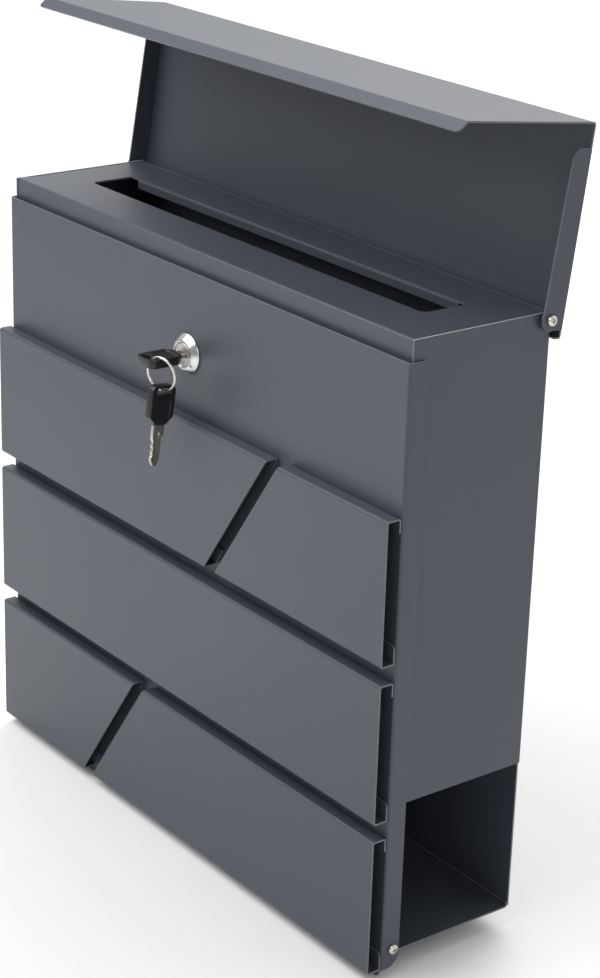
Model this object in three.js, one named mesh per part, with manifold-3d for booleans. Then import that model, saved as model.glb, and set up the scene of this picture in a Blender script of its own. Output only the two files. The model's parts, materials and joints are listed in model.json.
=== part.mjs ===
// Wall mounted mailbox of powder-coated sheet steel, with a newspaper tray below the mail
// compartment, a hinged lid over the mail slot, a bottom-hinged front door that carries five
// slats, and a cam lock with two keys on a ring.
// Millimetres. +X is to the right as seen from the front, +Y points back to the wall, +Z is up.
// The origin lies on the wall side of the back sheet, at the middle of the body's height.
import * as THREE from 'three';
import { mergeVertices } from 'three/addons/utils/BufferGeometryUtils.js';
import Module from 'manifold-3d';

// ---------------------------------------------------------------- driving dimensions
const SHEET = 1;             // sheet thickness of every pressed piece
const BEND = 1.6;            // outer radius of a bend
const GAP = 0.3;             // between pieces that are welded or touch
const DEPTH = 92;            // wall to door front
const TOP = 169.8;           // top of the mail slot plate
const TRAY_UNDER = -172.5;   // underside of the newspaper tray
const SIDE_BOTTOM = -81.7;   // lower edge of the side walls, above the tray's open ends

const DOOR_WIDTH = 370;
const DOOR_TOP = 158.8;
const DOOR_BOTTOM = -177.6;  // lower edge of the door's side flanges
const DOOR_LIP = 5;          // how far the front sheet runs on below the flanges
const DOOR_FLANGE = 11.4;    // depth of the side flanges, from the door's front face
const DOOR_FIT = 0.6;        // between a side flange and the body

const SLAT_DEPTH = 9.3;
const SLAT_HEIGHT = 79.2;
const SLAT_GAP = 9.6;        // between the rows, and across the slanted cuts
const SLAT_SLANT = 54.6;     // sideways run of a slanted cut over one slat's height
const SLAT_HALF = 184.4;
const SLAT_LIP_TOP = 8;
const SLAT_LIP_BOTTOM = 11;
const SLAT_CORNER = 2.5;     // radius of the lower lip's corners

const LID_HALF = 186.4;      // outer half width over the lid's side flanges
const LID_RISE = 9;          // hinge axis to the lid's outer face
const LID_LENGTH = 99;       // hinge axis to the fold
const LID_FLAP = 84;
const LID_LIP = 7.4;         // the flap's edge, turned in at 45 degrees
const LID_LEAN = 7.5;        // degrees past upright, against its stop
const FLAP_ANGLE = 90.8;     // between the lid's panel and its flap

const LOCK_Z = 112.9;
const FRONT = -DEPTH;                                     // front face of the door
const BODY_HALF = DOOR_WIDTH / 2 - SHEET - DOOR_FIT;      // outer faces of the side walls
const INNER_HALF = BODY_HALF - SHEET;
const LID_HINGE = { y: -3.2, z: 166.4 };
const DOOR_HINGE = { y: FRONT + 6.8, z: -166.2 };
const LIP_FRONT = FRONT + 3.6;                            // front face of the slot plate's lip

// ---------------------------------------------------------------- materials
function steel(color, roughness, metalness) {
  return new THREE.MeshStandardMaterial({ color, roughness, metalness });
}
const coat = () => steel(0x4d525b, 0.5, 0.1);
const nickel = () => steel(0xc9c6c0, 0.25, 1);
const chrome = () => steel(0xd8d8da, 0.12, 1);
const zinc = () => steel(0xa9abad, 0.4, 1);
const plastic = () => steel(0x17181a, 0.35, 0);
const nylon = () => steel(0x2b2d30, 0.6, 0);

// ---------------------------------------------------------------- solids
const wasm = await Module();
wasm.setup();

function bare(geometry) {
  const plain = geometry.clone();
  plain.deleteAttribute('normal');
  plain.deleteAttribute('uv');
  return mergeVertices(plain, 1e-5);
}

function solid(geometry) {
  const merged = bare(geometry);
  return new wasm.Manifold(new wasm.Mesh({
    numProp: 3,
    vertProperties: new Float32Array(merged.attributes.position.array),
    triVerts: new Uint32Array(merged.index.array),
  }));
}

function geometryOf(manifold) {
  const mesh = manifold.getMesh();
  const geometry = new THREE.BufferGeometry();
  geometry.setAttribute('position', new THREE.BufferAttribute(mesh.vertProperties, 3));
  geometry.setIndex(new THREE.BufferAttribute(mesh.triVerts, 1));
  geometry.computeVertexNormals();
  return geometry;
}

function cut(geometry, ...tools) {
  let body = solid(geometry);
  for (const tool of tools) {
    body = body.subtract(solid(tool));
  }
  return geometryOf(body);
}

function join(geometry, ...others) {
  let body = solid(geometry);
  for (const other of others) {
    body = body.add(solid(other));
  }
  return geometryOf(body);
}

// A box between two corners.
function box(x0, x1, y0, y1, z0, z1) {
  const geometry = new THREE.BoxGeometry(x1 - x0, y1 - y0, z1 - z0);
  geometry.translate((x0 + x1) / 2, (y0 + y1) / 2, (z0 + z1) / 2);
  return geometry;
}

// A cylinder along one axis, between two places on it.
function rod(axis, from, to, radius, a, b, sides = 24) {
  const geometry = new THREE.CylinderGeometry(radius, radius, to - from, sides);
  const middle = (from + to) / 2;
  if (axis === 'x') {
    geometry.rotateZ(-Math.PI / 2);
    geometry.translate(middle, a, b);
  } else if (axis === 'y') {
    geometry.translate(a, middle, b);
  } else {
    geometry.rotateX(Math.PI / 2);
    geometry.translate(a, b, middle);
  }
  return geometry;
}

// A flat outline extruded along +Z.
function slab(shape, thickness, curveSegments = 8) {
  return new THREE.ExtrudeGeometry(shape, { depth: thickness, bevelEnabled: false, curveSegments });
}

// The outline above, with its drawing plane turned to Y-Z and its thickness along +X from x.
function slabAlongX(shape, x, length, curveSegments) {
  const geometry = slab(shape, length, curveSegments);
  const turn = new THREE.Matrix4().makeBasis(
    new THREE.Vector3(0, 1, 0), new THREE.Vector3(0, 0, 1), new THREE.Vector3(1, 0, 0));
  geometry.applyMatrix4(turn);
  geometry.translate(x, 0, 0);
  return geometry;
}

// The same with its drawing plane turned to X-Z and its thickness along +Y from y.
function slabAlongY(shape, y, length, curveSegments) {
  const geometry = slab(shape, length, curveSegments);
  const turn = new THREE.Matrix4().makeBasis(
    new THREE.Vector3(1, 0, 0), new THREE.Vector3(0, 0, 1), new THREE.Vector3(0, -1, 0));
  geometry.applyMatrix4(turn);
  geometry.translate(0, y + length, 0);
  return geometry;
}

// Cross-section of a strip of sheet bent along a line of points. The points are the corners of
// one face, and the sheet lies to the left of the way they run. Each bend is an arc of BEND on
// its outer side.
function bentStrip(points, steps = 4) {
  const p = points.map(([a, b]) => new THREE.Vector2(a, b));
  const near = [];
  const far = [];
  const left = (d) => new THREE.Vector2(-d.y, d.x);
  const way = (i) => p[i + 1].clone().sub(p[i]).normalize();
  near.push(p[0].clone());
  far.push(p[0].clone().addScaledVector(left(way(0)), SHEET));
  for (let i = 1; i < p.length - 1; i += 1) {
    const before = way(i - 1);
    const after = way(i);
    const turn = Math.atan2(before.cross(after), before.dot(after));
    const toLeft = turn > 0;
    const nearRadius = toLeft ? BEND : BEND - SHEET;
    const run = nearRadius * Math.tan(Math.abs(turn) / 2);
    const side = toLeft ? 1 : -1;
    const start = p[i].clone().addScaledVector(before, -run);
    const centre = start.clone().addScaledVector(left(before), side * nearRadius);
    for (let k = 0; k <= steps; k += 1) {
      const spoke = left(before).multiplyScalar(-side).rotateAround(new THREE.Vector2(), turn * k / steps);
      near.push(centre.clone().addScaledVector(spoke, nearRadius));
      far.push(centre.clone().addScaledVector(spoke, toLeft ? BEND - SHEET : BEND));
    }
  }
  const last = p.length - 1;
  near.push(p[last].clone());
  far.push(p[last].clone().addScaledVector(left(way(last - 1)), SHEET));
  return new THREE.Shape([...near, ...far.reverse()]);
}

// The same shape on the other side of the Y-Z plane, with its faces still pointing out.
function mirrored(geometry) {
  const copy = geometry.index ? geometry.toNonIndexed() : geometry.clone();
  const place = copy.attributes.position;
  for (let i = 0; i < place.count; i += 3) {
    const first = [-place.getX(i), place.getY(i), place.getZ(i)];
    place.setXYZ(i, -place.getX(i + 1), place.getY(i + 1), place.getZ(i + 1));
    place.setXYZ(i + 1, ...first);
    place.setX(i + 2, -place.getX(i + 2));
  }
  return copy;
}

// A rounded bar outline, such as a slot, centred on a point.
function slotShape(a, b, length, width) {
  const half = (length - width) / 2;
  const shape = new THREE.Shape();
  shape.absarc(a + half, b, width / 2, -Math.PI / 2, Math.PI / 2, false);
  shape.absarc(a - half, b, width / 2, Math.PI / 2, Math.PI * 3 / 2, false);
  return shape;
}

// What is taken off a square corner to round it: the corner, the directions into the material
// along its two sides, and the radius.
function cornerShape(a, b, da, db, radius) {
  const over = 1;
  const shape = new THREE.Shape();
  const steps = 6;
  shape.moveTo(a - da * over, b - db * over);
  shape.lineTo(a + da * radius, b - db * over);
  for (let k = 0; k <= steps; k += 1) {
    const angle = k / steps * Math.PI / 2;
    shape.lineTo(a + da * radius * (1 - Math.sin(angle)), b + db * radius * (1 - Math.cos(angle)));
  }
  shape.lineTo(a - da * over, b + db * radius);
  return shape;
}

const model = new THREE.Group();

function addNode(name, geometry, material, place) {
  const mesh = new THREE.Mesh(geometry, material);
  mesh.name = name;
  (place || model).add(mesh);
  return mesh;
}

// ---------------------------------------------------------------- body shell
// One blank: the back sheet, the side walls bent forward from it, and below them the newspaper
// tray's floor with an up-turned front edge. A narrow leg of each side wall carries the door.
const TRAY_FRONT = LIP_FRONT + 0.4;
const TRAY_EDGE = 12;
const LEG_REAR = FRONT + 11;
const WALL_FRONT = FRONT + 3.2;
const LEG_BOTTOM = DOOR_HINGE.z - 4.6;   // clear of the door's sheet as it swings down
const WALL_HOLE = { radius: 3, x: 140, high: 120, low: -40 };
const HINGE_SCREW = 3;       // nominal diameter
const HOLE_ROOM = 0.4;
const HINGE_HOLE = (HINGE_SCREW + HOLE_ROOM) / 2;
const NUT_NOTCH = 3.4;       // the tray's front corners, cut away for the hinge nuts

function bodyShell() {
  const backTop = TOP - 0.6;
  const wrap = slab(bentStrip([
    [-BODY_HALF, WALL_FRONT], [-BODY_HALF, 0], [BODY_HALF, 0], [BODY_HALF, WALL_FRONT],
  ].reverse()), TOP - TRAY_UNDER);
  wrap.translate(0, 0, TRAY_UNDER);
  const openEnd = (side) => {
    const outer = side * (BODY_HALF + 5);
    const inner = side * (BODY_HALF - BEND - 0.2);
    return box(Math.min(outer, inner), Math.max(outer, inner),
      LEG_REAR, 5, TRAY_UNDER - 5, SIDE_BOTTOM);
  };
  const legFoot = box(-BODY_HALF - 5, BODY_HALF + 5, WALL_FRONT - 5, LEG_REAR + 1,
    TRAY_UNDER - 5, LEG_BOTTOM);
  const legCorner = (da, a) => slabAlongX(cornerShape(a, LEG_BOTTOM, da, 1, 3), -BODY_HALF - 5,
    2 * BODY_HALF + 10);
  const backRelief = box(-INNER_HALF + 1, INNER_HALF - 1, -SHEET - 1, 5, backTop, TOP + 5);
  const bottomCut = box(-BODY_HALF - 5, BODY_HALF + 5, -BEND - 0.4, 5,
    TRAY_UNDER - 5, TRAY_UNDER + BEND + 0.4);
  const walls = cut(wrap, openEnd(1), openEnd(-1), legFoot, legCorner(1, WALL_FRONT),
    legCorner(-1, LEG_REAR), backRelief, bottomCut);
  const floorHalf = BODY_HALF - BEND - 0.2;
  const floor = slabAlongX(bentStrip([
    [-SHEET, TRAY_UNDER + 4], [-SHEET, TRAY_UNDER + SHEET],
    [TRAY_FRONT + SHEET, TRAY_UNDER + SHEET], [TRAY_FRONT + SHEET, TRAY_UNDER + TRAY_EDGE],
  ].reverse()), -floorHalf, 2 * floorHalf);
  const shell = join(walls, floor);
  const nutNotch = box(floorHalf - NUT_NOTCH, floorHalf + 0.5, TRAY_FRONT - 2, LEG_REAR,
    TRAY_UNDER - 2, TRAY_UNDER + TRAY_EDGE + 2);
  const holes = [nutNotch, mirrored(nutNotch)];
  for (const side of [-1, 1]) {
    const from = side > 0 ? INNER_HALF - 2 : -BODY_HALF - 2;
    holes.push(rod('x', from, from + 5, HINGE_HOLE, DOOR_HINGE.y, DOOR_HINGE.z, 16));
    holes.push(rod('x', from, from + 5, HINGE_HOLE, LID_HINGE.y, LID_HINGE.z, 16));
    for (const z of [WALL_HOLE.high, WALL_HOLE.low]) {
      holes.push(rod('y', -3, 2, WALL_HOLE.radius, side * WALL_HOLE.x, z, 20));
    }
  }
  return cut(shell, ...holes);
}
addNode('body_shell', bodyShell(), coat());

// ---------------------------------------------------------------- mail slot plate
// The top of the mail compartment: a plate with the mail slot, whose rear edge and side edges
// are turned down inside the walls, with a front lip that turns back behind the door.
const PLATE_HALF = INNER_HALF - GAP;
const PLATE_REAR = -SHEET - GAP;
const LIP_DROP = 17;
const LIP_RETURN = 14;
const PLATE_DROP = 12;
const CORNER_NOTCH = 8;      // where two turned-down edges would meet
const SLOT = {
  half: 151.5, front: FRONT + 35.5, rear: FRONT + 63.5, corner: 4, drop: 5.8, short: 6.5,
};

function slotOutline() {
  const { half, front, rear, corner } = SLOT;
  const shape = new THREE.Shape();
  shape.absarc(-half + corner, front + corner, corner, Math.PI, 1.5 * Math.PI, false);
  shape.absarc(half - corner, front + corner, corner, 1.5 * Math.PI, 2 * Math.PI, false);
  shape.lineTo(half, rear);
  shape.lineTo(-half, rear);
  return shape;
}

function slotPlate() {
  const lipInner = LIP_FRONT + SHEET;
  const under = TOP - SHEET;
  const plate = slabAlongX(bentStrip([
    [LIP_FRONT + LIP_RETURN, TOP - LIP_DROP + SHEET], [lipInner, TOP - LIP_DROP + SHEET],
    [lipInner, under], [PLATE_REAR - SHEET, under], [PLATE_REAR - SHEET, TOP - PLATE_DROP],
  ]), -PLATE_HALF, 2 * PLATE_HALF);
  const sideEdge = slabAlongY(bentStrip([
    [PLATE_HALF - 6, under], [PLATE_HALF - SHEET, under], [PLATE_HALF - SHEET, TOP - PLATE_DROP],
  ]), LIP_FRONT + CORNER_NOTCH, PLATE_REAR - LIP_FRONT - 2 * CORNER_NOTCH);
  const squareEdge = box(PLATE_HALF - BEND, PLATE_HALF + 2, LIP_FRONT + CORNER_NOTCH,
    PLATE_REAR - CORNER_NOTCH, TOP - BEND, TOP + 2);
  const rearNotch = box(PLATE_HALF - CORNER_NOTCH, PLATE_HALF + 2, PLATE_REAR - CORNER_NOTCH, 1,
    TOP - PLATE_DROP - 2, under);
  const slotCut = slab(slotOutline(), 6);
  slotCut.translate(0, 0, TOP - 4);
  const slotEdge = slabAlongX(bentStrip([
    [SLOT.rear + 6, under], [SLOT.rear + SHEET, under], [SLOT.rear + SHEET, TOP - SLOT.drop],
  ].reverse()), -SLOT.half + SLOT.short, 2 * (SLOT.half - SLOT.short));
  const opened = cut(plate, slotCut, squareEdge, mirrored(squareEdge), rearNotch, mirrored(rearNotch));
  return join(opened, sideEdge, mirrored(sideEdge), slotEdge);
}
addNode('slot_plate', slotPlate(), coat());

// ---------------------------------------------------------------- compartment floor
// Carries the mail above the newspaper tray: a sheet with its rear and front edges turned up.
const FLOOR_UNDER = SIDE_BOTTOM + 1.2;
const FLOOR_EDGE = 12;
const FLOOR_FRONT_EDGE = 18;

function compartmentFloor() {
  const face = FLOOR_UNDER + SHEET;
  const front = LIP_FRONT + 0.4;
  const plate = slabAlongX(bentStrip([
    [PLATE_REAR - SHEET, FLOOR_UNDER + FLOOR_EDGE], [PLATE_REAR - SHEET, face],
    [front + SHEET, face], [front + SHEET, FLOOR_UNDER + FLOOR_FRONT_EDGE],
  ].reverse()), -PLATE_HALF, 2 * PLATE_HALF);
  return geometryOf(solid(plate));
}
addNode('compartment_floor', compartmentFloor(), coat());

// ---------------------------------------------------------------- lid
// One bent sheet: a flat panel, a flap at the front whose edge is turned in, and a short
// down-turned edge behind the hinges that stops the lid against the back sheet. Two flanges
// welded on at its sides lie outside the side walls. Drawn closed round its hinge axis, then
// swung open.
const LID_REAR = 10.2;
const LID_REAR_EDGE = 4;
const LID_FLANGE_END = 13;   // from the fold to where the side flanges stop
const LID_LOBE = 6;          // round the hinge screws
const LID_LIP_CORNER = 2.2;
const radians = (degrees) => degrees * Math.PI / 180;

function lid() {
  const flapWay = [Math.cos(radians(180 + FLAP_ANGLE)), Math.sin(radians(180 + FLAP_ANGLE))];
  const fold = [-LID_LENGTH, LID_RISE];
  const flapEnd = [fold[0] + LID_FLAP * flapWay[0], fold[1] + LID_FLAP * flapWay[1]];
  const lipRun = LID_LIP * Math.SQRT1_2;
  const sheetHalf = LID_HALF - SHEET + 0.4;
  const sheet = slabAlongX(bentStrip([
    [LID_REAR, LID_RISE - LID_REAR_EDGE], [LID_REAR, LID_RISE], fold, flapEnd,
    [flapEnd[0] + lipRun, flapEnd[1] - lipRun],
  ]), -sheetHalf, 2 * sheetHalf);
  const profile = new THREE.Shape();
  const end = -LID_LENGTH + LID_FLANGE_END;
  profile.moveTo(end, LID_RISE - 0.5);
  profile.lineTo(end, 2);
  profile.absarc(end + 5, 2, 5, Math.PI, Math.PI * 1.48, false);
  profile.lineTo(-LID_LOBE * Math.sin(radians(30)), -LID_LOBE * Math.cos(radians(30)));
  profile.absarc(0, 0, LID_LOBE, radians(240), radians(385), false);
  profile.lineTo(LID_LOBE - 0.8, LID_RISE - 0.5);
  const flange = slabAlongX(profile, LID_HALF - SHEET, SHEET, 10);
  const whole = join(sheet, flange, mirrored(flange));
  const hole = rod('x', LID_HALF - 3, LID_HALF + 2, HINGE_HOLE, 0, 0, 16);
  const lipEnd = slab(cornerShape(sheetHalf, LID_LIP, -1, -1, LID_LIP_CORNER), 3);
  lipEnd.translate(0, 0, -1);
  lipEnd.rotateX(-Math.PI / 4);
  lipEnd.translate(0, ...flapEnd);
  return cut(whole, hole, mirrored(hole), lipEnd, mirrored(lipEnd));
}
const lidFrame = new THREE.Group();
lidFrame.position.set(0, LID_HINGE.y, LID_HINGE.z);
lidFrame.rotation.x = radians(-90 - LID_LEAN);
model.add(lidFrame);
addNode('lid', lid(), coat(), lidFrame);

// ---------------------------------------------------------------- hinge hardware
// Pan head screws with a cross recess, each with a nut inside the wall. A plastic washer keeps
// the lid's flange off the side wall.
const CROSS_DEPTH = 1.1;

// A screw with its head towards +X: the underside of the head lies at x = 0.
function panScrew(headRadius, headHeight, shankRadius, shankLength) {
  const rise = (share) => headHeight * Math.sqrt(1 - share * share);
  const points = [
    [0, -shankLength], [shankRadius, -shankLength], [shankRadius, 0], [headRadius, 0],
    [headRadius, headHeight * 0.35],
  ];
  for (const share of [0.85, 0.6, 0.3]) {
    points.push([headRadius * share, headHeight * 0.35 + rise(share) * 0.65]);
  }
  points.push([0, headHeight]);
  const body = new THREE.LatheGeometry(points.map(([r, h]) => new THREE.Vector2(r, h)), 24);
  body.rotateZ(-Math.PI / 2);
  const arm = headRadius * 0.5;
  const width = headRadius * 0.14;
  const deep = headHeight - CROSS_DEPTH;
  return cut(body,
    box(deep, headHeight + 1, -arm, arm, -width, width),
    box(deep, headHeight + 1, -width, width, -arm, arm));
}

function ring(from, to, outerRadius, innerRadius, sides = 24) {
  return cut(rod('x', from, to, outerRadius, 0, 0, sides),
    rod('x', from - 1, to + 1, innerRadius, 0, 0, 16));
}

const LID_WASHER = { from: BODY_HALF + GAP, to: LID_HALF - SHEET - GAP, radius: 4.4 };
const hinges = [
  { name: 'lid_hinge', at: LID_HINGE, head: LID_HALF + GAP, radius: 2.9, height: 2, nutRadius: 2.1,
    nutSides: 20, nutThick: 2 },
  { name: 'door_hinge', at: DOOR_HINGE, head: DOOR_WIDTH / 2 + GAP, radius: 2.9, height: 2,
    nutRadius: 3.1, nutSides: 6, nutThick: 2.2 },
];
for (const hinge of hinges) {
  for (const side of ['left', 'right']) {
    const place = new THREE.Group();
    place.position.set(0, hinge.at.y, hinge.at.z);
    model.add(place);
    const handed = (geometry) => (side === 'left' ? mirrored(geometry) : geometry);
    const nutTo = INNER_HALF - GAP;
    const screw = panScrew(hinge.radius, hinge.height, HINGE_SCREW / 2, hinge.head - nutTo + hinge.nutThick + 1);
    screw.translate(hinge.head, 0, 0);
    addNode(`${hinge.name}_screw_${side}`, handed(screw), nickel(), place);
    const nut = ring(nutTo - hinge.nutThick, nutTo, hinge.nutRadius, HINGE_SCREW / 2 + 0.15, hinge.nutSides);
    addNode(`${hinge.name}_nut_${side}`, handed(nut), zinc(), place);
    if (hinge.name === 'lid_hinge') {
      const washer = ring(LID_WASHER.from, LID_WASHER.to, LID_WASHER.radius, HINGE_SCREW / 2 + 0.15);
      addNode(`lid_hinge_washer_${side}`, handed(washer), nylon(), place);
    }
  }
}

// ---------------------------------------------------------------- door
// A sheet with two side flanges that wrap outside the side walls. The lower rear corner of each
// flange is rounded round its hinge screw, and the front sheet runs on below as a drip lip.
const LOCK_HOLE = 9.3;
const DOOR_CORNER = 8.5;

function door() {
  const half = DOOR_WIDTH / 2;
  const rear = FRONT + DOOR_FLANGE;
  const lipBottom = DOOR_BOTTOM - DOOR_LIP;
  const lipHalf = half - BEND - 0.2;
  const pan = slab(bentStrip([[-half, rear], [-half, FRONT], [half, FRONT], [half, rear]]),
    DOOR_TOP - lipBottom);
  pan.translate(0, 0, lipBottom);
  const underFlange = box(lipHalf, half + 2, FRONT - 2, rear + 2, lipBottom - 2, DOOR_BOTTOM);
  const lipCorner = slabAlongY(cornerShape(lipHalf, lipBottom, -1, 1, 4), FRONT - 2, 8);
  const hinge = rod('x', half - 4, half + 2, HINGE_HOLE, DOOR_HINGE.y, DOOR_HINGE.z, 16);
  const whole = slabAlongX(cornerShape(rear, DOOR_BOTTOM, -1, 1, DOOR_CORNER), -half - 2, 2 * half + 4);
  const top = slabAlongX(cornerShape(rear, DOOR_TOP, -1, -1, 2), -half - 2, 2 * half + 4);
  return cut(pan, underFlange, mirrored(underFlange), lipCorner, mirrored(lipCorner), hinge,
    mirrored(hinge), whole, top, rod('y', FRONT - 2, FRONT + 4, LOCK_HOLE, 0, LOCK_Z, 32));
}
addNode('door_panel', door(), coat());

// ---------------------------------------------------------------- slats
// Five pressed channels welded to the door in three rows. The outer rows are cut in two on a
// slant. Each channel has a short down-turned lip at its top and a taller up-turned one below.
function slat(top, from, to) {
  const bottom = top - SLAT_HEIGHT;
  const atDoor = FRONT - GAP;
  const face = FRONT - SLAT_DEPTH;
  const channel = slabAlongX(bentStrip([
    [atDoor, top - SLAT_LIP_TOP], [atDoor, top], [face, top], [face, bottom], [atDoor, bottom],
    [atDoor, bottom + SLAT_LIP_BOTTOM],
  ]), -SLAT_HALF, 2 * SLAT_HALF);
  const lipEnd = slabAlongY(cornerShape(SLAT_HALF, bottom + SLAT_LIP_BOTTOM, -1, -1, SLAT_CORNER),
    atDoor - SHEET - 0.1, SHEET + 1);
  const rounded = cut(channel, lipEnd, mirrored(lipEnd));
  const over = 1;
  const lean = (end) => (end.top - end.bottom) / SLAT_HEIGHT;
  const outline = new THREE.Shape([
    new THREE.Vector2(from.top + lean(from) * over, top + over),
    new THREE.Vector2(from.bottom - lean(from) * over, bottom - over),
    new THREE.Vector2(to.bottom - lean(to) * over, bottom - over),
    new THREE.Vector2(to.top + lean(to) * over, top + over),
  ]);
  const keep = slabAlongY(outline, face - 2, SLAT_DEPTH + 4);
  return geometryOf(solid(rounded).intersect(solid(keep)));
}

const squareEnd = (x) => ({ top: x, bottom: x });
const slantEnd = (x) => ({ top: x, bottom: x - SLAT_SLANT });
const leftEnd = squareEnd(-SLAT_HALF - 1);
const rightEnd = squareEnd(SLAT_HALF + 1);
const rows = [
  { name: 'top', split: 89.7 },
  { name: 'middle', split: null },
  { name: 'bottom', split: -33.5 },
];
const LOWEST_SLAT = DOOR_BOTTOM + 0.2;
rows.forEach((row, i) => {
  const top = LOWEST_SLAT + (rows.length - i) * (SLAT_HEIGHT + SLAT_GAP) - SLAT_GAP;
  if (row.split === null) {
    addNode(`slat_${row.name}`, slat(top, leftEnd, rightEnd), coat());
    return;
  }
  const half = SLAT_GAP / 2 + 0.2;
  addNode(`slat_${row.name}_left`, slat(top, leftEnd, slantEnd(row.split - half)), coat());
  addNode(`slat_${row.name}_right`, slat(top, slantEnd(row.split + half), rightEnd), coat());
});

// ---------------------------------------------------------------- cam lock
// A round housing with a cone-shaped face, clamped to the door by a nut. The plug turns a
// quarter turn in it and carries a cam, which reaches behind the slot plate's lip when locked.
const PLUG_RADIUS = 6.5;
const KEYWAY = { width: 8.4, height: 2.6 };
const TAIL = 7;
const CAM = { reach: 44, half: 6.5, tipHalf: 5, from: 17.8, to: 19.9 };

const lockFrame = new THREE.Group();
lockFrame.position.set(0, FRONT, LOCK_Z);
model.add(lockFrame);

function turned(points, segments = 36) {
  return new THREE.LatheGeometry(points.map(([r, h]) => new THREE.Vector2(r, h)), segments);
}

const housing = turned([
  [6.8, -4.2], [8.4, -4.2], [11.4, -1], [11.4, -GAP], [9, -GAP], [9, 17.7], [6.8, 17.7], [6.8, -4.2],
]);
addNode('lock_housing', geometryOf(solid(housing)), chrome(), lockFrame);

const lockNut = cut(rod('y', SHEET + GAP, SHEET + GAP + 3.5, 13.4, 0, 0, 6),
  rod('y', 0, 8, 9.3, 0, 0, 36));
addNode('lock_nut', lockNut, zinc(), lockFrame);

const plugBody = join(
  turned([[0, -3.9], [PLUG_RADIUS, -3.9], [PLUG_RADIUS, 17.4], [0, 17.4]]),
  box(-TAIL / 2, TAIL / 2, 17.2, 19.6, -TAIL / 2, TAIL / 2));
const plug = cut(plugBody,
  box(-KEYWAY.width / 2, KEYWAY.width / 2, -6, 16.6, -KEYWAY.height / 2, KEYWAY.height / 2),
  rod('y', 17.3, 21, 2.2, 0, 0, 16));
addNode('lock_plug', plug, chrome(), lockFrame);

function cam() {
  const shape = new THREE.Shape();
  shape.absarc(0, 0, CAM.half + 2, radians(-50), radians(50), false);
  shape.lineTo(-CAM.reach * 0.45, CAM.half);
  shape.lineTo(-CAM.reach + 2, CAM.tipHalf);
  shape.lineTo(-CAM.reach, CAM.tipHalf - 2);
  shape.lineTo(-CAM.reach, -CAM.tipHalf + 2);
  shape.lineTo(-CAM.reach + 2, -CAM.tipHalf);
  shape.lineTo(-CAM.reach * 0.45, -CAM.half);
  const plate = slabAlongY(shape, CAM.from, CAM.to - CAM.from);
  const seat = TAIL / 2 + GAP;
  return cut(plate, box(-seat, seat, CAM.from - 1, CAM.to + 1, -seat, seat));
}
addNode('lock_cam', cam(), zinc(), lockFrame);

const camScrew = panScrew(4.6, 2.4, 1.9, 2.5);
camScrew.rotateZ(Math.PI / 2);
camScrew.translate(0, CAM.to + GAP, 0);
addNode('cam_screw', camScrew, zinc(), lockFrame);

// ---------------------------------------------------------------- keys
// Two alike: a moulded plastic head with a slot for the ring, over a flat steel blade. A key is
// drawn in X-Z with its blade pointing down: z = 0 is where the blade leaves the head.
const HEAD = { half: 8, length: 22, thick: 4.7, slot: 10, slotWidth: 3.6, slotAt: 18.5 };
const BLADE = { length: 23.2, shoulder: 3.9, half: 3.3, thick: 2 };

function keyHead() {
  const shape = new THREE.Shape();
  shape.moveTo(-3.4, 0);
  shape.lineTo(3.4, 0);
  shape.lineTo(HEAD.half, 4.6);
  shape.lineTo(HEAD.half, HEAD.length - 4);
  shape.quadraticCurveTo(HEAD.half, HEAD.length, HEAD.half - 4, HEAD.length);
  shape.lineTo(-HEAD.half + 4, HEAD.length);
  shape.quadraticCurveTo(-HEAD.half, HEAD.length, -HEAD.half, HEAD.length - 4);
  shape.lineTo(-HEAD.half, 4.6);
  const body = slabAlongY(shape, -HEAD.thick / 2, HEAD.thick, 4);
  const slot = slabAlongY(slotShape(0, HEAD.slotAt, HEAD.slot, HEAD.slotWidth),
    -HEAD.thick, 2 * HEAD.thick, 6);
  return cut(body, slot);
}

function keyBlade() {
  const shape = new THREE.Shape([
    new THREE.Vector2(-BLADE.shoulder, -GAP), new THREE.Vector2(-BLADE.shoulder, -4),
    new THREE.Vector2(-BLADE.half, -4.6), new THREE.Vector2(-BLADE.half, -BLADE.length + 4),
    new THREE.Vector2(-1.2, -BLADE.length), new THREE.Vector2(1.2, -BLADE.length),
    new THREE.Vector2(BLADE.half, -BLADE.length + 4), new THREE.Vector2(BLADE.half, -4.6),
    new THREE.Vector2(BLADE.shoulder, -4), new THREE.Vector2(BLADE.shoulder, -GAP),
  ]);
  return geometryOf(solid(slabAlongY(shape, -BLADE.thick / 2, BLADE.thick)));
}

const KEY_OUT = 7;           // from the door's face to the head of the key in the lock
const lockKey = new THREE.Group();
lockKey.position.set(0, -KEY_OUT, 0);
lockKey.rotation.x = Math.PI / 2;
lockFrame.add(lockKey);
addNode('lock_key_head', keyHead(), plastic(), lockKey);
addNode('lock_key_blade', keyBlade(), nickel(), lockKey);

// ---------------------------------------------------------------- key ring and spare key
// The ring hangs round the side bar of the head in the lock, turned a little on its upright and
// leaning back at its lower side. The spare key hangs from the ring's lowest point.
const RING = { radius: 9.3, wire: 0.7, turn: radians(17), lean: radians(5) };
const ringCentre = new THREE.Vector3(8.3, -23, -5.2);
const ringPlace = new THREE.Group();
ringPlace.position.copy(ringCentre);
ringPlace.rotation.set(RING.lean, 0, RING.turn, 'ZYX');
lockFrame.add(ringPlace);
const torus = new THREE.TorusGeometry(RING.radius, RING.wire, 8, 40);
torus.rotateX(Math.PI / 2);
addNode('key_ring', geometryOf(solid(torus)), nickel(), ringPlace);

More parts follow.
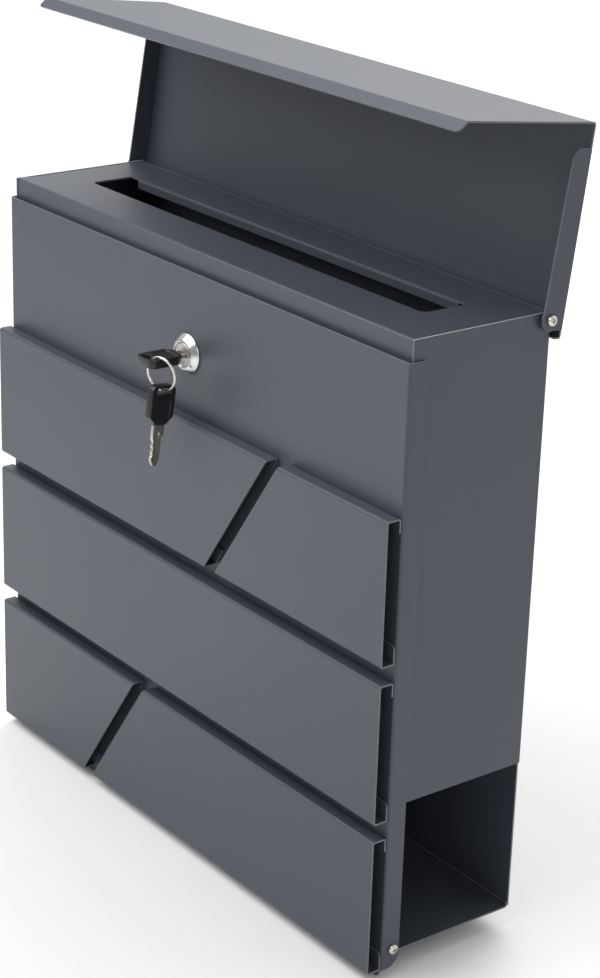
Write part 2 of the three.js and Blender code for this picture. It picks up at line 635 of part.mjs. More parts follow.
const SPARE = { turn: radians(5), lean: radians(8) };
const lowest = new THREE.Vector3(0, 0, -RING.radius).applyEuler(ringPlace.rotation).add(ringCentre);
const sparePlace = new THREE.Group();
sparePlace.position.copy(lowest);
sparePlace.rotation.set(-SPARE.lean, 0, SPARE.turn, 'ZYX');
lockFrame.add(sparePlace);
const hang = HEAD.slotAt + HEAD.slotWidth / 2 - RING.wire - 0.6;
const spareKey = new THREE.Group();
spareKey.position.set(0, 0, -hang);
spareKey.rotation.z = Math.PI / 2;
sparePlace.add(spareKey);
addNode('spare_key_head', keyHead(), plastic(), spareKey);
addNode('spare_key_blade', keyBlade(), nickel(), spareKey);

export default model;
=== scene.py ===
import json
import math

import bpy
from mathutils import Matrix, Vector


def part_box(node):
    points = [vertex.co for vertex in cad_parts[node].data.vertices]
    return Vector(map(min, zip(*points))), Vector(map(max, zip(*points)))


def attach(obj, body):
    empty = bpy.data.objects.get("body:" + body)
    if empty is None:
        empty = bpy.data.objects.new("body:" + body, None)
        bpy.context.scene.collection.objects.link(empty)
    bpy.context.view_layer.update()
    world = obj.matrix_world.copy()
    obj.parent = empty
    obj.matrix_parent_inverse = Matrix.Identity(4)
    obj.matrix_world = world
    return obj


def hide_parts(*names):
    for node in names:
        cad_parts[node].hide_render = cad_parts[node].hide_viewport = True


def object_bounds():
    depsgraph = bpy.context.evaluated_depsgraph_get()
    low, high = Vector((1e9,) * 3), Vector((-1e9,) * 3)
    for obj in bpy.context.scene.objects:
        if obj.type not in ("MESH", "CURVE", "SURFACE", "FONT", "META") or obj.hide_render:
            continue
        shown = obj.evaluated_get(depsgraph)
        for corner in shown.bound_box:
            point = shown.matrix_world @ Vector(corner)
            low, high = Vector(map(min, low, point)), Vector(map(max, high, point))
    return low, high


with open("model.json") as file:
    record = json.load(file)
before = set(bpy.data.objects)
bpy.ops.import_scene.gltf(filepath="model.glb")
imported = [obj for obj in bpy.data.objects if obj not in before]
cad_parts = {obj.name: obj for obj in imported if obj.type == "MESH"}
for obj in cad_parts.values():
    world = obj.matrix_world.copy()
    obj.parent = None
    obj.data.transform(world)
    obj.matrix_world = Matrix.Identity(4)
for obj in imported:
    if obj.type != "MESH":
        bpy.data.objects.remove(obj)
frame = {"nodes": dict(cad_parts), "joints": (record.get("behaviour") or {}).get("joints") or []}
cad_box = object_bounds()
bpy.ops.object.select_all(action="DESELECT")


# ---------------------------------------------------------------- camera
# A long lens above and to the right of the mailbox, with the long side of the picture upright.
camera_data = bpy.data.cameras.new("camera")
camera_data.sensor_width = 36
camera_data.lens = 88.14
camera_data.clip_end = 50
camera = bpy.data.objects.new("camera", camera_data)
bpy.context.scene.collection.objects.link(camera)
camera.location = (1.01019, -0.79511, 0.51581)
camera.rotation_euler = (math.radians(68.6822), math.radians(-1.6694), math.radians(52.8957))
bpy.context.scene.camera = camera


# ---------------------------------------------------------------- floor and studio light
# A pale floor under the mailbox in a white room that is darker at the front. A wide soft light
# stands above the front left, a weaker one at the right, and one far behind keeps the floor pale.
bpy.ops.mesh.primitive_plane_add(size=30, location=(0, 0, cad_box[0].z - 0.0004))
floor = bpy.context.object
floor.name = "floor"
floor_material = bpy.data.materials.new("floor_paint")
floor_material.use_nodes = True
floor_paint = floor_material.node_tree.nodes["Principled BSDF"]
floor_paint.inputs["Base Color"].default_value = (0.86, 0.86, 0.86, 1)
floor_paint.inputs["Roughness"].default_value = 0.75
floor.data.materials.append(floor_material)

world = bpy.data.worlds.new("studio")
world.use_nodes = True
room = world.node_tree
room_side = room.nodes.new("ShaderNodeTexCoord")
room_turn = room.nodes.new("ShaderNodeVectorMath")
room_turn.operation = "DOT_PRODUCT"
room_turn.inputs[1].default_value = (-0.3, 0.95, 0.0)
room_strength = room.nodes.new("ShaderNodeMapRange")
room_strength.inputs["From Min"].default_value = -0.3
room_strength.inputs["From Max"].default_value = 0.6
room_strength.inputs["To Min"].default_value = 0.34
room_strength.inputs["To Max"].default_value = 1.0
room.links.new(room_side.outputs["Generated"], room_turn.inputs[0])
room.links.new(room_turn.outputs["Value"], room_strength.inputs["Value"])
room.links.new(room_strength.outputs["Result"], room.nodes["Background"].inputs["Strength"])
room.nodes["Background"].inputs["Color"].default_value = (1, 1, 1, 1)
bpy.context.scene.world = world
bpy.context.scene.view_settings.view_transform = "Standard"


def soft_light(name, place, target, size, watts):
    """A square soft light at a place, turned to shine at a target."""
    data = bpy.data.lights.new(name, "AREA")
    data.shape = "SQUARE"
    data.size = size
    data.energy = watts
    light = bpy.data.objects.new(name, data)
    bpy.context.scene.collection.objects.link(light)
    light.location = place
    light.rotation_euler = (Vector(target) - Vector(place)).to_track_quat("-Z", "Y").to_euler()


soft_light("overhead_light", (-0.3, -0.74, 0.95), (-0.05, -0.2, -0.2), 1.3, 16.3)
soft_light("side_light", (1.5, -0.6, 0.75), (0.1, -0.05, -0.15), 0.9, 3.7)
soft_light("back_light", (-1.2, 2.0, 2.2), (-1.0, 1.4, -0.2), 2.0, 60)


# ---------------------------------------------------------------- body shell
# The back, side walls and newspaper tray, folded from one blank of 1 mm steel. It is coated with
# anthracite satin powder, with faint orange peel and cloudy colour. The cut edges and their eased
# rims are painted lighter, partly for the thinner film there and partly as a painted highlight,
# and the walls' top edges carry a brighter painted highlight.
coat_film = bpy.data.node_groups.new("powder_film", "ShaderNodeTree")
for socket, kind in (("Colour", "NodeSocketColor"), ("Roughness", "NodeSocketFloat")):
    coat_film.interface.new_socket(socket, in_out="INPUT", socket_type=kind)
for socket, kind in (("Colour", "NodeSocketColor"), ("Roughness", "NodeSocketFloat"),
                     ("Height", "NodeSocketFloat")):
    coat_film.interface.new_socket(socket, in_out="OUTPUT", socket_type=kind)
film = coat_film.nodes
film_in = film.new("NodeGroupInput")
film_out = film.new("NodeGroupOutput")
film_place = film.new("ShaderNodeTexCoord")
clouds = film.new("ShaderNodeTexNoise")
clouds.inputs["Scale"].default_value = 11
clouds.inputs["Detail"].default_value = 5
peel = film.new("ShaderNodeTexNoise")
peel.inputs["Scale"].default_value = 850
peel.inputs["Detail"].default_value = 2
specks = film.new("ShaderNodeTexNoise")
specks.inputs["Scale"].default_value = 2600
shade = film.new("ShaderNodeMapRange")
shade.inputs["To Min"].default_value = 0.93
shade.inputs["To Max"].default_value = 1.07
grit = film.new("ShaderNodeMapRange")
grit.inputs["To Min"].default_value = 0.94
grit.inputs["To Max"].default_value = 1.06
tint = film.new("ShaderNodeMath")
tint.operation = "MULTIPLY"
toned = film.new("ShaderNodeVectorMath")
toned.operation = "SCALE"
rough_change = film.new("ShaderNodeMapRange")
rough_change.inputs["To Min"].default_value = -0.05
rough_change.inputs["To Max"].default_value = 0.05
rough = film.new("ShaderNodeMath")
for noise in (clouds, peel, specks):
    coat_film.links.new(film_place.outputs["Object"], noise.inputs["Vector"])
coat_film.links.new(clouds.outputs["Fac"], shade.inputs["Value"])
coat_film.links.new(specks.outputs["Fac"], grit.inputs["Value"])
coat_film.links.new(shade.outputs["Result"], tint.inputs[0])
coat_film.links.new(grit.outputs["Result"], tint.inputs[1])
coat_film.links.new(film_in.outputs["Colour"], toned.inputs[0])
coat_film.links.new(tint.outputs["Value"], toned.inputs["Scale"])
coat_film.links.new(toned.outputs["Vector"], film_out.inputs["Colour"])
coat_film.links.new(clouds.outputs["Fac"], rough_change.inputs["Value"])
coat_film.links.new(film_in.outputs["Roughness"], rough.inputs[0])
coat_film.links.new(rough_change.outputs["Result"], rough.inputs[1])
coat_film.links.new(rough.outputs["Value"], film_out.inputs["Roughness"])
coat_film.links.new(peel.outputs["Fac"], film_out.inputs["Height"])


def powder_coat(name, colour, roughness):
    """Powder-coated steel of one colour."""
    material = bpy.data.materials.new(name)
    material.use_nodes = True
    tree = material.node_tree
    shader = tree.nodes["Principled BSDF"]
    surface = tree.nodes.new("ShaderNodeGroup")
    surface.node_tree = coat_film
    surface.inputs["Colour"].default_value = (*colour, 1)
    surface.inputs["Roughness"].default_value = roughness
    bump = tree.nodes.new("ShaderNodeBump")
    bump.inputs["Strength"].default_value = 0.35
    bump.inputs["Distance"].default_value = 0.00006
    tree.links.new(surface.outputs["Colour"], shader.inputs["Base Color"])
    tree.links.new(surface.outputs["Roughness"], shader.inputs["Roughness"])
    tree.links.new(surface.outputs["Height"], bump.inputs["Height"])
    tree.links.new(bump.outputs["Normal"], shader.inputs["Normal"])
    return material


anthracite = powder_coat("anthracite_coat", (0.052, 0.060, 0.076), 0.44)
# Lighter coat for cut edges and eased rims: partly the thinner film of a sharp edge, partly a
# painted highlight.
edge_film_and_highlight_coat = powder_coat("anthracite_edge_film_and_highlight", (0.12, 0.128, 0.146), 0.4)
# Much lighter coat for the walls' top edges: a painted highlight where they catch the overhead
# light.
wall_top_painted_highlight = powder_coat("wall_top_painted_highlight_coat", (0.40, 0.41, 0.43), 0.35)


def finish_sheet(piece, edge):
    """Eases the sharp edges of a folded sheet and shades its bends smooth and its faces flat."""
    rounded = piece.modifiers.new("eased_edges", "BEVEL")
    rounded.width = edge
    rounded.segments = 2
    rounded.limit_method = "ANGLE"
    rounded.angle_limit = math.radians(40)
    # The eased rims take the lighter edge coat, which is partly a painted highlight.
    rounded.material = 1
    rounded.use_clamp_overlap = True
    flat = piece.modifiers.new("flat_faces", "WEIGHTED_NORMAL")
    flat.weight = 100
    flat.keep_sharp = True
    bpy.ops.object.select_all(action="DESELECT")
    piece.select_set(True)
    bpy.context.view_layer.objects.active = piece
    bpy.ops.object.shade_smooth()
    for modifier in (rounded, flat):
        bpy.ops.object.modifier_apply(modifier=modifier.name)


def give_cut_edges_film_and_highlight(piece):
    """Gives the narrow faces along the sheet's cut edges the lighter edge coat: partly the
    thinner film of a sharp edge, partly a painted highlight.
    """
    sheet_edge = 0.00105
    mesh = piece.data
    beside = {}
    for face in mesh.polygons:
        for ends in face.edge_keys:
            beside.setdefault(ends, []).append(face)
    for face in mesh.polygons:
        lengths = {ends: (mesh.vertices[ends[0]].co - mesh.vertices[ends[1]].co).length
                   for ends in face.edge_keys}
        longest = max(lengths, key=lengths.get)
        narrow = 2 * face.area / sum(lengths.values()) < sheet_edge
        if narrow and all(face.normal.dot(other.normal) < 0.5 for other in beside[longest]
                          if other.index != face.index):
            face.material_index = 1


def folded_sheet(node, body):
    """A coated sheet piece with the CAD piece's folds and holes."""
    piece = bpy.data.objects.new(node + "_sheet", frame["nodes"][node].data.copy())
    bpy.context.scene.collection.objects.link(piece)
    bpy.ops.object.select_all(action="DESELECT")
    piece.select_set(True)
    bpy.context.view_layer.objects.active = piece
    bpy.ops.mesh.customdata_custom_splitnormals_clear()
    bpy.ops.object.mode_set(mode="EDIT")
    bpy.ops.mesh.select_all(action="SELECT")
    bpy.ops.mesh.remove_doubles(threshold=0.000002)
    bpy.ops.mesh.dissolve_limited(angle_limit=math.radians(0.6))
    bpy.ops.mesh.select_all(action="DESELECT")
    bpy.ops.object.mode_set(mode="OBJECT")
    piece.data.materials.clear()
    piece.data.materials.append(anthracite)
    piece.data.materials.append(edge_film_and_highlight_coat)
    give_cut_edges_film_and_highlight(piece)
    finish_sheet(piece, 0.0002)
    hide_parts(node)
    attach(piece, body)
    return piece


shell = folded_sheet("body_shell", "body")
shell.data.materials.append(wall_top_painted_highlight)
# Up-facing faces along the walls' top edges, ahead of the rear, get the painted highlight coat.
wall_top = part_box("body_shell")[1].z
highlight_depth, highlight_rear = 0.0004, -0.006
for face in shell.data.polygons:
    if (face.normal.z > 0.3 and face.center.z > wall_top - highlight_depth
            and face.center.y < highlight_rear):
        face.material_index = 2


# ---------------------------------------------------------------- mail slot plate and floor
# Two folded sheets welded inside the walls: the top with its mail slot, and the shelf between
# the mail and the newspaper tray.
folded_sheet("slot_plate", "body")
folded_sheet("compartment_floor", "body")


# ---------------------------------------------------------------- lid
# One folded steel sheet, powder coated: a panel, a flap with its edge turned in, and side
# flanges that hang on the hinge screws. It leans back on its own rear edge.
folded_sheet("lid", "lid")


# ---------------------------------------------------------------- door and slats
# The front sheet with its side flanges, and five folded channels welded to it in three rows,
# all coated like the body.
folded_sheet("door_panel", "door")
for slat in ("slat_top_left", "slat_top_right", "slat_middle", "slat_bottom_left",
             "slat_bottom_right"):
    folded_sheet(slat, "door")


# ---------------------------------------------------------------- nuts and washers
# Small bought parts inside: zinc-plated nuts, the lock's cam and its screw, and nylon washers
# between the lid and the walls. Tumbling leaves fine scuffs in the shine of their plating.
scuffs = bpy.data.node_groups.new("plating_scuffs", "ShaderNodeTree")
for socket, kind in (("Colour", "NodeSocketColor"), ("Roughness", "NodeSocketFloat"),
                     ("Scale", "NodeSocketFloat")):
    scuffs.interface.new_socket(socket, in_out="INPUT", socket_type=kind)
for socket, kind in (("Colour", "NodeSocketColor"), ("Roughness", "NodeSocketFloat"),
                     ("Height", "NodeSocketFloat")):
    scuffs.interface.new_socket(socket, in_out="OUTPUT", socket_type=kind)
rub = scuffs.nodes
rub_in = rub.new("NodeGroupInput")
rub_out = rub.new("NodeGroupOutput")
rub_place = rub.new("ShaderNodeTexCoord")
rub_marks = rub.new("ShaderNodeTexNoise")
rub_marks.inputs["Detail"].default_value = 6
rub_tone = rub.new("ShaderNodeMapRange")
rub_tone.inputs["To Min"].default_value = 0.82
rub_tone.inputs["To Max"].default_value = 1.08
rub_colour = rub.new("ShaderNodeVectorMath")
rub_colour.operation = "SCALE"
rub_rough = rub.new("ShaderNodeMapRange")
rub_rough.inputs["To Min"].default_value = -0.07
rub_rough.inputs["To Max"].default_value = 0.12
rub_sum = rub.new("ShaderNodeMath")
scuffs.links.new(rub_place.outputs["Object"], rub_marks.inputs["Vector"])
scuffs.links.new(rub_in.outputs["Scale"], rub_marks.inputs["Scale"])
scuffs.links.new(rub_marks.outputs["Fac"], rub_tone.inputs["Value"])
scuffs.links.new(rub_marks.outputs["Fac"], rub_rough.inputs["Value"])
scuffs.links.new(rub_in.outputs["Colour"], rub_colour.inputs[0])
scuffs.links.new(rub_tone.outputs["Result"], rub_colour.inputs["Scale"])
scuffs.links.new(rub_colour.outputs["Vector"], rub_out.inputs["Colour"])
scuffs.links.new(rub_in.outputs["Roughness"], rub_sum.inputs[0])
scuffs.links.new(rub_rough.outputs["Result"], rub_sum.inputs[1])
scuffs.links.new(rub_sum.outputs["Value"], rub_out.inputs["Roughness"])
scuffs.links.new(rub_marks.outputs["Fac"], rub_out.inputs["Height"])


def scuffed(name, colour, roughness, metallic, scale=900):
    """A hard surface with fine scuffs."""
    material = bpy.data.materials.new(name)
    material.use_nodes = True
    tree = material.node_tree
    shader = tree.nodes["Principled BSDF"]
    shader.inputs["Metallic"].default_value = metallic
    surface = tree.nodes.new("ShaderNodeGroup")
    surface.node_tree = scuffs
    surface.inputs["Colour"].default_value = (*colour, 1)
    surface.inputs["Roughness"].default_value = roughness
    surface.inputs["Scale"].default_value = scale
    bump = tree.nodes.new("ShaderNodeBump")
    bump.inputs["Strength"].default_value = 0.2
    bump.inputs["Distance"].default_value = 0.000006
    tree.links.new(surface.outputs["Colour"], shader.inputs["Base Color"])
    tree.links.new(surface.outputs["Roughness"], shader.inputs["Roughness"])
    tree.links.new(surface.outputs["Height"], bump.inputs["Height"])
    tree.links.new(bump.outputs["Normal"], shader.inputs["Normal"])
    return material


def dress(node, material):
    """Gives a CAD piece its finish."""
    piece = frame["nodes"][node]
    for place in piece.material_slots:
        place.material = material


zinc = scuffed("zinc_plate", (0.58, 0.59, 0.60), 0.36, 1)
nylon = scuffed("black_nylon", (0.02, 0.021, 0.024), 0.55, 0)
for side in ("left", "right"):
    dress("lid_hinge_nut_" + side, zinc)
    dress("door_hinge_nut_" + side, zinc)
    dress("lid_hinge_washer_" + side, nylon)
for node in ("lock_nut", "lock_cam", "cam_screw"):
    dress(node, zinc)


# ---------------------------------------------------------------- hinge screws
# Steel pan head screws with a cross recess, bright nickel plated. One pair holds the lid and one
# the door, each through a flange and a side wall into a nut.
def turned_part(name, centre, axis, profile, steps=48):
    """A part turned on a lathe. The profile is a row of (radius, distance along the axis)."""
    along = Vector(axis)
    out = Vector((0, 0, 1))
    places = [Vector(centre) + out * r + along * d for r, d in profile]
    bpy.ops.object.select_all(action="DESELECT")
    bpy.ops.mesh.primitive_plane_add(size=0.001, location=(0, 0, 0))
    piece = bpy.context.object
    piece.name = name
    bpy.ops.object.mode_set(mode="EDIT")
    bpy.ops.mesh.select_mode(type="VERT")
    bpy.ops.mesh.select_all(action="SELECT")
    bpy.ops.mesh.merge(type="CENTER")
    bpy.ops.transform.translate(value=places[0])
    for here, there in zip(places, places[1:]):
        bpy.ops.mesh.extrude_region_move(TRANSFORM_OT_translate={"value": there - here})
    bpy.ops.mesh.select_all(action="SELECT")
    bpy.ops.mesh.spin(steps=steps, angle=2 * math.pi, center=centre, axis=axis)
    bpy.ops.mesh.select_all(action="SELECT")
    bpy.ops.mesh.remove_doubles(threshold=0.000002)
    bpy.ops.mesh.normals_make_consistent(inside=False)
    bpy.ops.object.mode_set(mode="OBJECT")
    bpy.ops.object.shade_smooth_by_angle(angle=math.radians(35))
    return piece


def cut_away(piece, tool):
    """Cuts the tool's shape out of the piece, and takes the tool away."""
    bpy.ops.object.select_all(action="DESELECT")
    piece.select_set(True)
    bpy.context.view_layer.objects.active = piece
    carve = piece.modifiers.new("cut", "BOOLEAN")
    carve.object = tool
    carve.operation = "DIFFERENCE"
    carve.solver = "EXACT"
    bpy.ops.object.modifier_apply(modifier=carve.name)
    bpy.data.objects.remove(tool)


def block(name, low, high):
    """A block between two corners."""
    bpy.ops.object.select_all(action="DESELECT")
    bpy.ops.mesh.primitive_cube_add(size=1, location=(Vector(low) + Vector(high)) / 2)
    piece = bpy.context.object
    piece.name = name
    piece.scale = Vector(high) - Vector(low)
    bpy.ops.object.transform_apply(location=True, rotation=True, scale=True)
    return piece


def pan_head_screw(node, side):
    """A screw along X with its head outwards, in the CAD screw's place."""
    low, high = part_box(node)
    radius = (high.y - low.y) / 2
    tip, top = (low.x, high.x) if side > 0 else (-high.x, -low.x)
    height = 0.002
    shank = 0.0015
    under = top - height
    centre = Vector((0, (low.y + high.y) / 2, (low.z + high.z) / 2))
    screw = turned_part(node + "_turned", centre, (1, 0, 0), [
        (0, tip), (shank - 0.0004, tip), (shank, tip + 0.0005), (shank, under),
        (radius - 0.0001, under), (radius, under + 0.0001), (radius, under + height * 0.36),
        (radius * 0.96, under + height * 0.56), (radius * 0.86, under + height * 0.75),
        (radius * 0.68, under + height * 0.9),
        (radius * 0.42, under + height * 0.98), (0, top)])
    wide, thin, deep = radius * 0.52, radius * 0.13, height * 0.62
    for across, up in ((wide, thin), (thin, wide)):
        arm = block("recess_arm", (top - deep, centre.y - across, centre.z - up),
                    (top + 0.001, centre.y + across, centre.z + up))
        cut_away(screw, arm)
    if side < 0:
        bpy.ops.object.select_all(action="DESELECT")
        screw.select_set(True)
        screw.matrix_world = (Matrix.Translation(centre) @ Matrix.Rotation(math.pi, 4, "Z")
                              @ Matrix.Translation(-centre))
        bpy.ops.object.transform_apply(location=True, rotation=True, scale=True)
    screw.data.materials.clear()
    screw.data.materials.append(nickel)
    bpy.ops.object.select_all(action="DESELECT")
    screw.select_set(True)
    bpy.context.view_layer.objects.active = screw
    bpy.ops.object.shade_smooth_by_angle(angle=math.radians(35))
    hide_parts(node)
    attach(screw, "body")


nickel = scuffed("nickel_plate", (0.72, 0.70, 0.66), 0.24, 1)
for hinge in ("lid_hinge", "door_hinge"):
    pan_head_screw(hinge + "_screw_right", 1)
    pan_head_screw(hinge + "_screw_left", -1)


# ---------------------------------------------------------------- cam lock
# A chromed housing with a cone-shaped face, clamped to the door by its nut, round a satin
# nickel plug with a keyway. The plug's square tail carries the cam.
chrome = scuffed("chrome_plate", (0.74, 0.74, 0.75), 0.17, 1)
satin_nickel = scuffed("satin_nickel_plate", (0.47, 0.44, 0.42), 0.34, 1)
lock_low, lock_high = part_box("lock_housing")
lock_centre = Vector((0, 0, (lock_low.z + lock_high.z) / 2))
lock_face = lock_low.y
door_face = lock_face + 0.0042
housing = turned_part("lock_housing_turned", lock_centre, (0, 1, 0), [
    (0.0068, lock_high.y), (0.0068, lock_face + 0.0004), (0.0071, lock_face + 0.0001),
    (0.0075, lock_face), (0.0082, lock_face + 0.0001), (0.0086, lock_face + 0.0004),
    (0.0112, door_face - 0.0012), (0.0114, door_face - 0.0009), (0.0114, door_face - 0.0003),
    (0.009, door_face - 0.0003), (0.009, lock_high.y), (0.0068, lock_high.y)], 96)
housing.data.materials.append(chrome)
housing.data.materials.append(satin_nickel)
for face in housing.data.polygons:
    if face.center.y < lock_face + 0.0002:
        face.material_index = 1
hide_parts("lock_housing")
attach(housing, "door")

plug_low, plug_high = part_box("lock_plug")
plug_face = plug_low.y
plug = turned_part("lock_plug_turned", lock_centre, (0, 1, 0), [
    (0, plug_face + 0.0002), (0.0048, plug_face + 0.0002), (0.0051, plug_face),
    (0.0062, plug_face), (0.0065, plug_face + 0.0003), (0.0065, plug_high.y - 0.0022),
    (0, plug_high.y - 0.0022)], 96)
plug.data.materials.append(satin_nickel)
cut_away(plug, block("keyway", (-0.0042, plug_face - 0.002, lock_centre.z - 0.0013),
                     (0.0042, plug_high.y - 0.003, lock_centre.z + 0.0013)))
tail = block("plug_tail", (-0.0035, plug_high.y - 0.0022, lock_centre.z - 0.0035),
             (0.0035, plug_high.y, lock_centre.z + 0.0035))
cut_away(tail, turned_part("tail_bore", lock_centre, (0, 1, 0), [
    (0, plug_high.y - 0.0022), (0.0022, plug_high.y - 0.0022), (0.0022, plug_high.y + 0.001),
    (0, plug_high.y + 0.001)]))
tail.data.materials.append(satin_nickel)
bpy.ops.object.select_all(action="DESELECT")
tail.select_set(True)
plug.select_set(True)
bpy.context.view_layer.objects.active = plug
bpy.ops.object.join()
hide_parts("lock_plug")
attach(plug, "lock_cylinder")


# ---------------------------------------------------------------- keys
# Two alike: a moulded black head with a slot for the ring and a shallow panel on each face,
# over a nickel silver blade with a cut edge and a groove. One is in the lock, and one hangs.
def pick(piece, domain, test):
    """In edit mode, selects only the corners, edges or faces whose place passes a test."""
    if bpy.context.mode != "OBJECT":
        bpy.ops.object.mode_set(mode="OBJECT")
    bpy.ops.object.select_all(action="DESELECT")
    piece.select_set(True)
    bpy.context.view_layer.objects.active = piece
    mesh = piece.data
    bpy.ops.object.mode_set(mode="EDIT")
    bpy.ops.mesh.select_mode(type=domain)
    bpy.ops.mesh.select_all(action="DESELECT")
    bpy.ops.object.mode_set(mode="OBJECT")
    if domain == "EDGE":
        for edge in mesh.edges:
            a, b = (mesh.vertices[i].co for i in edge.vertices)
            edge.select = test((a + b) / 2, (b - a).normalized())
    elif domain == "VERT":
        for corner in mesh.vertices:
            corner.select = test(corner.co)
    else:
        for face in mesh.polygons:
            face.select = test(face.center, face.normal)
    bpy.ops.object.mode_set(mode="EDIT")


def key_head(name):
    """A key's head, drawn upright in X and Z with the blade's end at the origin."""
    half, length, thick = 0.008, 0.022, 0.00235
    head = block(name, (-half, -thick, 0), (half, thick, length))
    pick(head, "EDGE", lambda middle, way: abs(way.y) > 0.9 and middle.z > length / 2)
    bpy.ops.mesh.bevel(offset=0.0036, segments=6, affect="EDGES")
    pick(head, "EDGE", lambda middle, way: abs(way.y) > 0.9 and middle.z < 0.001)
    bpy.ops.mesh.bevel(offset=0.0045, segments=1, affect="EDGES")
    bpy.ops.object.mode_set(mode="OBJECT")
    slot_hole = block("ring_slot", (-0.005, -0.005, 0.0167), (0.005, 0.005, 0.0203))
    pick(slot_hole, "EDGE", lambda middle, way: abs(way.y) > 0.9)
    bpy.ops.mesh.bevel(offset=0.0017, segments=5, affect="EDGES")
    bpy.ops.object.mode_set(mode="OBJECT")
    cut_away(head, slot_hole)
    for side in (-1, 1):
        low, high = sorted((side * (thick - 0.0005), side * (thick + 0.001)))
        panel = block("panel", (-0.0053, low, 0.0036), (0.0053, high, 0.0132))
        pick(panel, "EDGE", lambda middle, way: abs(way.y) > 0.9)
        bpy.ops.mesh.bevel(offset=0.001, segments=3, affect="EDGES")
        bpy.ops.object.mode_set(mode="OBJECT")
        cut_away(head, panel)
    soften = head.modifiers.new("moulded_edges", "BEVEL")
    soften.width = 0.0004
    soften.segments = 3
    soften.limit_method = "ANGLE"
    soften.angle_limit = math.radians(50)
    bpy.ops.object.select_all(action="DESELECT")
    head.select_set(True)
    bpy.context.view_layer.objects.active = head
    bpy.ops.object.modifier_apply(modifier=soften.name)
    bpy.ops.object.shade_smooth_by_angle(angle=math.radians(35))
    head.data.materials.clear()
    head.data.materials.append(black_plastic)
    return head


def key_blade(name):
    """A key's blade, hanging down from the origin."""
    rows = 40
    length, gap = 0.0232, 0.0003
    columns = (0, 0.3, 0.36, 0.54, 0.6, 1)
    cuts = (0.0, 0.9, 0.3, 1.1, 0.5, 1.2, 0.2, 0.8)
    bpy.ops.object.select_all(action="DESELECT")
    bpy.ops.mesh.primitive_grid_add(x_subdivisions=5, y_subdivisions=rows, size=1,
                                    location=(0, 0, 0), rotation=(math.pi / 2, 0, 0))
    blade = bpy.context.object
    blade.name = name
    bpy.ops.object.transform_apply(location=True, rotation=True, scale=True)
    for column, share in enumerate(columns):
        even = column / 5
        pick(blade, "VERT", lambda place: abs(place.x + 0.5 - even) < 0.01)
        bpy.ops.transform.translate(value=(share - even, 0, 0))
    for row in range(rows + 1):
        down = row / rows
        left, right = -0.0033, 0.0027
        if down < 0.3:
            left, right = -0.0035, 0.0038
        elif down > 0.34:
            place = (down - 0.34) / 0.55 * (len(cuts) - 1)
            if place < len(cuts) - 1:
                step = int(place)
                bite = cuts[step] + (cuts[step + 1] - cuts[step]) * (place - step)
                left += bite * 0.001
        if down > 0.86:
            narrow = (down - 0.86) / 0.14
            left = left * (1 - narrow) - 0.0009 * narrow
            right = right * (1 - narrow) + 0.0012 * narrow
        height = 0.5 - down
        lower = 1 - gap - down * (length - gap)
        pick(blade, "VERT", lambda place: abs(place.z - height) < 0.01)
        bpy.ops.transform.resize(value=(right - left, 1, 1), center_override=(-0.5, 0, height))
        bpy.ops.transform.translate(value=(left + 0.5, 0, lower - height))
    bpy.ops.mesh.select_all(action="SELECT")
    bpy.ops.transform.translate(value=(0, 0, -1))
    bpy.ops.object.mode_set(mode="OBJECT")
    bpy.ops.object.select_all(action="DESELECT")
    blade.select_set(True)
    bpy.context.view_layer.objects.active = blade
    thick = blade.modifiers.new("plate", "SOLIDIFY")
    thick.thickness = 0.002
    thick.offset = 0
    bpy.ops.object.modifier_apply(modifier=thick.name)
    for side in (-1, 1):
        pick(blade, "FACE", lambda middle, way: way.y * side > 0.9 and middle.z < -0.005
             and middle.z > -0.021 and abs(middle.x) < 0.0006)
        bpy.ops.transform.translate(value=(0, -side * 0.00045, 0))
    bpy.ops.object.mode_set(mode="OBJECT")
    soften = blade.modifiers.new("tumbled_edges", "BEVEL")
    soften.width = 0.00012
    soften.segments = 2
    soften.limit_method = "ANGLE"
    soften.angle_limit = math.radians(50)
    bpy.ops.object.modifier_apply(modifier=soften.name)
    bpy.ops.object.shade_smooth_by_angle(angle=math.radians(35))
    blade.data.materials.clear()
    blade.data.materials.append(nickel_silver)
    return blade


def place_key(piece, turn, node, body):
    """Puts a piece drawn upright in its key's place."""
    bpy.ops.object.select_all(action="DESELECT")
    piece.select_set(True)
    bpy.context.view_layer.objects.active = piece
    piece.matrix_world = turn
    bpy.ops.object.transform_apply(location=True, rotation=True, scale=True)
    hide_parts(node)
    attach(piece, body)


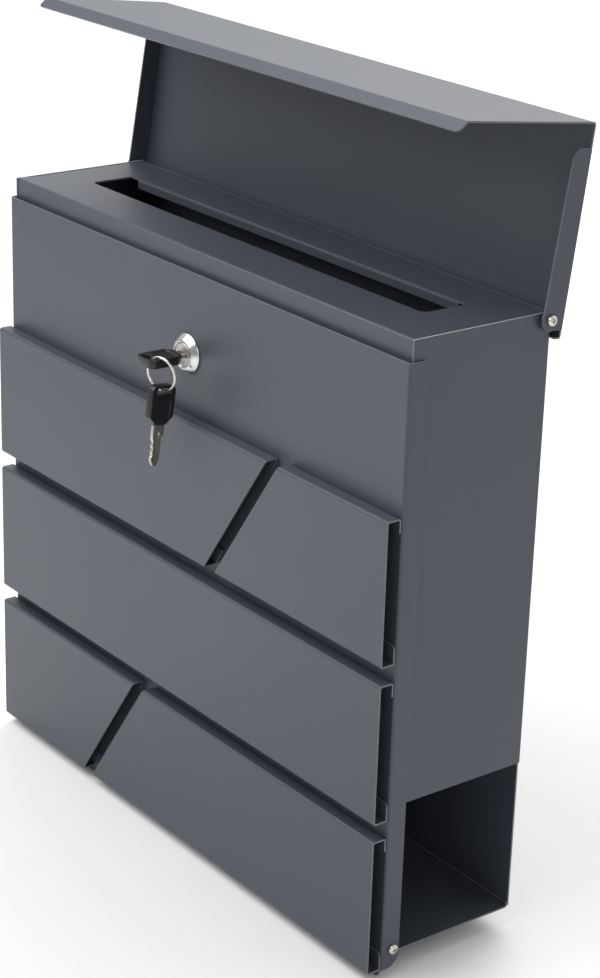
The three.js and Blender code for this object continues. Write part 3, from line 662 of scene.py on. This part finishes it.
black_plastic = scuffed("black_plastic", (0.012, 0.012, 0.013), 0.3, 0, 700)
nickel_silver = scuffed("nickel_silver", (0.54, 0.49, 0.43), 0.3, 1)
joints = {joint["name"]: joint for joint in frame["joints"]}
key_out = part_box("lock_key_head")[1].y
in_lock = Matrix.Translation((0, key_out, lock_centre.z)) @ Matrix.Rotation(math.pi / 2, 4, "X")
hanging = (Matrix.Translation(joints["spare_key_swing"]["pos_m"])
           @ Matrix.Rotation(math.radians(5), 4, "Z") @ Matrix.Rotation(math.radians(-8), 4, "X")
           @ Matrix.Translation((0, 0, -0.019))
           @ Matrix.Rotation(math.pi / 2, 4, "Z"))
for key, turn, body in (("lock_key", in_lock, "lock_cylinder"),
                        ("spare_key", hanging, "spare_key")):
    place_key(key_head(key + "_head_moulded"), turn, key + "_head", body)
    place_key(key_blade(key + "_blade_cut"), turn, key + "_blade", body)


# ---------------------------------------------------------------- key ring
# A split ring wound nearly twice from flat spring wire, nickel plated. It hangs on the key in
# the lock and carries the spare key.
ring_radius, ring_turns = 0.0093, 1.93
bpy.ops.object.select_all(action="DESELECT")
bpy.ops.mesh.primitive_circle_add(vertices=12, radius=0.00052, fill_type="NOTHING",
                                  location=(ring_radius, 0, 0), rotation=(math.pi / 2, 0, 0))
split_ring = bpy.context.object
split_ring.name = "split_ring"
split_ring.scale = (1, 0.5, 0.9)
bpy.ops.object.transform_apply(location=True, rotation=True, scale=True)
wound = split_ring.modifiers.new("wound", "SCREW")
wound.axis = "Z"
wound.angle = 2 * math.pi * ring_turns
wound.screw_offset = 0.0006 * ring_turns
wound.steps = 120
wound.render_steps = 120
wound.use_merge_vertices = False
bpy.ops.object.modifier_apply(modifier=wound.name)
ring_joint = joints["ring_swing"]
ring_low, ring_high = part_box("key_ring")
ring_axis = Vector(ring_joint["axis"])
ring_centre = (ring_low + ring_high) / 2
split_ring.matrix_world = (Matrix.Translation(ring_centre)
                           @ ring_axis.to_track_quat("Z", "X").to_matrix().to_4x4()
                           @ Matrix.Translation((0, 0, -0.0003 * ring_turns)))
bpy.ops.object.transform_apply(location=True, rotation=True, scale=True)
bpy.ops.object.mode_set(mode="EDIT")
bpy.ops.mesh.select_all(action="DESELECT")
bpy.ops.mesh.select_mode(type="EDGE")
bpy.ops.mesh.select_non_manifold(extend=False, use_boundary=True)
bpy.ops.mesh.edge_face_add()
bpy.ops.mesh.select_all(action="SELECT")
bpy.ops.mesh.normals_make_consistent(inside=False)
bpy.ops.object.mode_set(mode="OBJECT")
bpy.ops.object.shade_smooth_by_angle(angle=math.radians(40))
split_ring.data.materials.clear()
split_ring.data.materials.append(nickel)
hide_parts("key_ring")
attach(split_ring, "key_ring")
